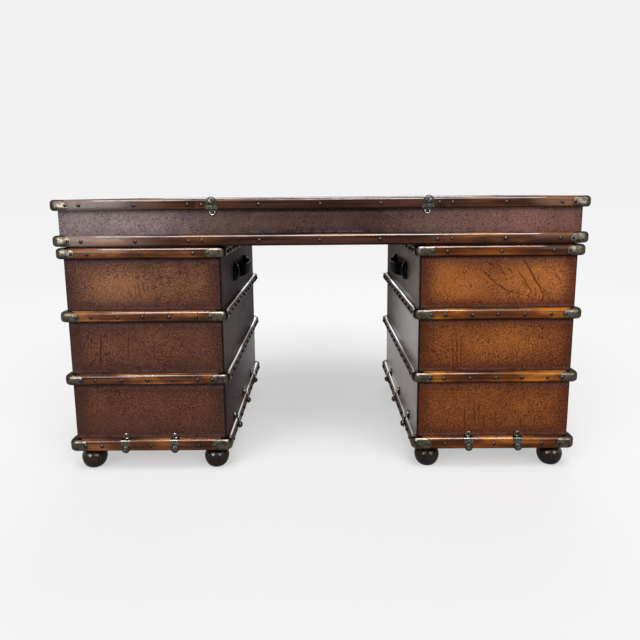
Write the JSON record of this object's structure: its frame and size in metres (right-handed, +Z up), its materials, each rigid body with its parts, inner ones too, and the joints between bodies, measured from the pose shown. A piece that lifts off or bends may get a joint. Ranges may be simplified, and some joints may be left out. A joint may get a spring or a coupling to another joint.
{
  "type": "campaign desk",
  "caption": "Campaign desk: leather-clad drawer pedestals and a lift-off drawer top, with slatted bands, metal corner caps, drop bails and strap handles.",
  "frame": {"origin": "on the floor, under the middle of the desk's box", "axes": "+Z up; +X along the desk's width, to the right as the visitor sees it; +Y towards the user's side, where the drawers open; the visitor's side faces -Y"},
  "size_m": [1.474, 0.7984, 0.78],
  "materials": {
    "case_leather": "worn, polished",
    "frieze_leather": "worn, polished",
    "writing_leather": "satin",
    "strap_leather": "waxed",
    "slat_wood": "French polish",
    "case_wood": "oiled",
    "drawer_wood": "raw, planed",
    "ebonised_wood": "black gloss",
    "aged_brass": "aged, polished",
    "dark_metal": "dark bronzed"
  },
  "bodies": {
    "pedestals": {"left_visitor_panel": "case_leather", "left_side_panels": "case_leather", "left_shelves": "case_wood", "left_slats": "slat_wood", "left_corner_caps": "aged_brass", "right_visitor_panel": "case_leather", "right_side_panels": "case_leather", "right_shelves": "case_wood", "right_slats": "slat_wood", "right_corner_caps": "aged_brass", "bun_feet": "ebonised_wood", "pedestal_slat_clamps": "aged_brass", "handle_straps": "strap_leather", "handle_rosettes": "dark_metal", "locating_blocks": "case_wood"},
    "top_unit": {"frieze_visitor_panel": "frieze_leather", "frieze_ends": "frieze_leather", "frieze_base_board": "case_wood", "frieze_dividers": "case_wood", "top_board": "case_wood", "writing_leather": "writing_leather", "unit_slats": "slat_wood", "unit_corner_caps": "aged_brass", "unit_slat_clamps": "aged_brass"},
    "left_low_drawer": {"left_low_drawer_front": "case_leather", "left_low_drawer_box": "drawer_wood", "left_low_drawer_pull_plate": "aged_brass"},
    "left_low_drawer_pull": {"left_low_drawer_bail": "aged_brass"},
    "left_middle_drawer": {"left_middle_drawer_front": "case_leather", "left_middle_drawer_box": "drawer_wood", "left_middle_drawer_pull_plate": "aged_brass"},
    "left_middle_drawer_pull": {"left_middle_drawer_bail": "aged_brass"},
    "left_high_drawer": {"left_high_drawer_front": "case_leather", "left_high_drawer_box": "drawer_wood", "left_high_drawer_pull_plate": "aged_brass"},
    "left_high_drawer_pull": {"left_high_drawer_bail": "aged_brass"},
    "left_frieze_drawer": {"left_frieze_drawer_front": "frieze_leather", "left_frieze_drawer_box": "drawer_wood", "left_frieze_drawer_pull_plate": "aged_brass"},
    "left_frieze_drawer_pull": {"left_frieze_drawer_bail": "aged_brass"},
    "right_low_drawer": {"right_low_drawer_front": "case_leather", "right_low_drawer_box": "drawer_wood", "right_low_drawer_pull_plate": "aged_brass"},
    "right_low_drawer_pull": {"right_low_drawer_bail": "aged_brass"},
    "right_middle_drawer": {"right_middle_drawer_front": "case_leather", "right_middle_drawer_box": "drawer_wood", "right_middle_drawer_pull_plate": "aged_brass"},
    "right_middle_drawer_pull": {"right_middle_drawer_bail": "aged_brass"},
    "right_high_drawer": {"right_high_drawer_front": "case_leather", "right_high_drawer_box": "drawer_wood", "right_high_drawer_pull_plate": "aged_brass"},
    "right_high_drawer_pull": {"right_high_drawer_bail": "aged_brass"},
    "right_frieze_drawer": {"right_frieze_drawer_front": "frieze_leather", "right_frieze_drawer_box": "drawer_wood", "right_frieze_drawer_pull_plate": "aged_brass"},
    "right_frieze_drawer_pull": {"right_frieze_drawer_bail": "aged_brass"},
    "centre_drawer": {"centre_drawer_front": "frieze_leather", "centre_drawer_box": "drawer_wood", "centre_drawer_pull_plate": "aged_brass"},
    "centre_drawer_pull": {"centre_drawer_bail": "aged_brass"}
  },
  "joints": [
    {"name": "top_lift", "type": "slide", "parent": "pedestals", "child": "top_unit", "axis": [0, 0, 1], "range_m": [0, 0.3]},
    {"name": "left_low_drawer_slide", "type": "slide", "parent": "pedestals", "child": "left_low_drawer", "axis": [0, 1, 0], "range_m": [0, 0.5]},
    {"name": "left_low_drawer_bail_hinge", "type": "hinge", "parent": "left_low_drawer", "child": "left_low_drawer_pull", "pos_m": [-0.488, 0.391, 0.188], "axis": [1, 0, 0], "range_deg": [-11, 90]},
    {"name": "left_middle_drawer_slide", "type": "slide", "parent": "pedestals", "child": "left_middle_drawer", "axis": [0, 1, 0], "range_m": [0, 0.5]},
    {"name": "left_middle_drawer_bail_hinge", "type": "hinge", "parent": "left_middle_drawer", "child": "left_middle_drawer_pull", "pos_m": [-0.488, 0.391, 0.374], "axis": [1, 0, 0], "range_deg": [-11, 90]},
    {"name": "left_high_drawer_slide", "type": "slide", "parent": "pedestals", "child": "left_high_drawer", "axis": [0, 1, 0], "range_m": [0, 0.5]},
    {"name": "left_high_drawer_bail_hinge", "type": "hinge", "parent": "left_high_drawer", "child": "left_high_drawer_pull", "pos_m": [-0.488, 0.391, 0.5515], "axis": [1, 0, 0], "range_deg": [-11, 90]},
    {"name": "left_frieze_drawer_slide", "type": "slide", "parent": "top_unit", "child": "left_frieze_drawer", "axis": [0, 1, 0], "range_m": [0, 0.5]},
    {"name": "left_frieze_drawer_bail_hinge", "type": "hinge", "parent": "left_frieze_drawer", "child": "left_frieze_drawer_pull", "pos_m": [-0.5165, 0.391, 0.721], "axis": [1, 0, 0], "range_deg": [-11, 90]},
    {"name": "right_low_drawer_slide", "type": "slide", "parent": "pedestals", "child": "right_low_drawer", "axis": [0, 1, 0], "range_m": [0, 0.5]},
    {"name": "right_low_drawer_bail_hinge", "type": "hinge", "parent": "right_low_drawer", "child": "right_low_drawer_pull", "pos_m": [0.488, 0.391, 0.188], "axis": [1, 0, 0], "range_deg": [-11, 90]},
    {"name": "right_middle_drawer_slide", "type": "slide", "parent": "pedestals", "child": "right_middle_drawer", "axis": [0, 1, 0], "range_m": [0, 0.5]},
    {"name": "right_middle_drawer_bail_hinge", "type": "hinge", "parent": "right_middle_drawer", "child": "right_middle_drawer_pull", "pos_m": [0.488, 0.391, 0.374], "axis": [1, 0, 0], "range_deg": [-11, 90]},
    {"name": "right_high_drawer_slide", "type": "slide", "parent": "pedestals", "child": "right_high_drawer", "axis": [0, 1, 0], "range_m": [0, 0.5]},
    {"name": "right_high_drawer_bail_hinge", "type": "hinge", "parent": "right_high_drawer", "child": "right_high_drawer_pull", "pos_m": [0.488, 0.391, 0.5515], "axis": [1, 0, 0], "range_deg": [-11, 90]},
    {"name": "right_frieze_drawer_slide", "type": "slide", "parent": "top_unit", "child": "right_frieze_drawer", "axis": [0, 1, 0], "range_m": [0, 0.5]},
    {"name": "right_frieze_drawer_bail_hinge", "type": "hinge", "parent": "right_frieze_drawer", "child": "right_frieze_drawer_pull", "pos_m": [0.5165, 0.391, 0.721], "axis": [1, 0, 0], "range_deg": [-11, 90]},
    {"name": "centre_drawer_slide", "type": "slide", "parent": "top_unit", "child": "centre_drawer", "axis": [0, 1, 0], "range_m": [0, 0.5]},
    {"name": "centre_drawer_bail_hinge", "type": "hinge", "parent": "centre_drawer", "child": "centre_drawer_pull", "pos_m": [0, 0.391, 0.721], "axis": [1, 0, 0], "range_deg": [-11, 90]}
  ]
}
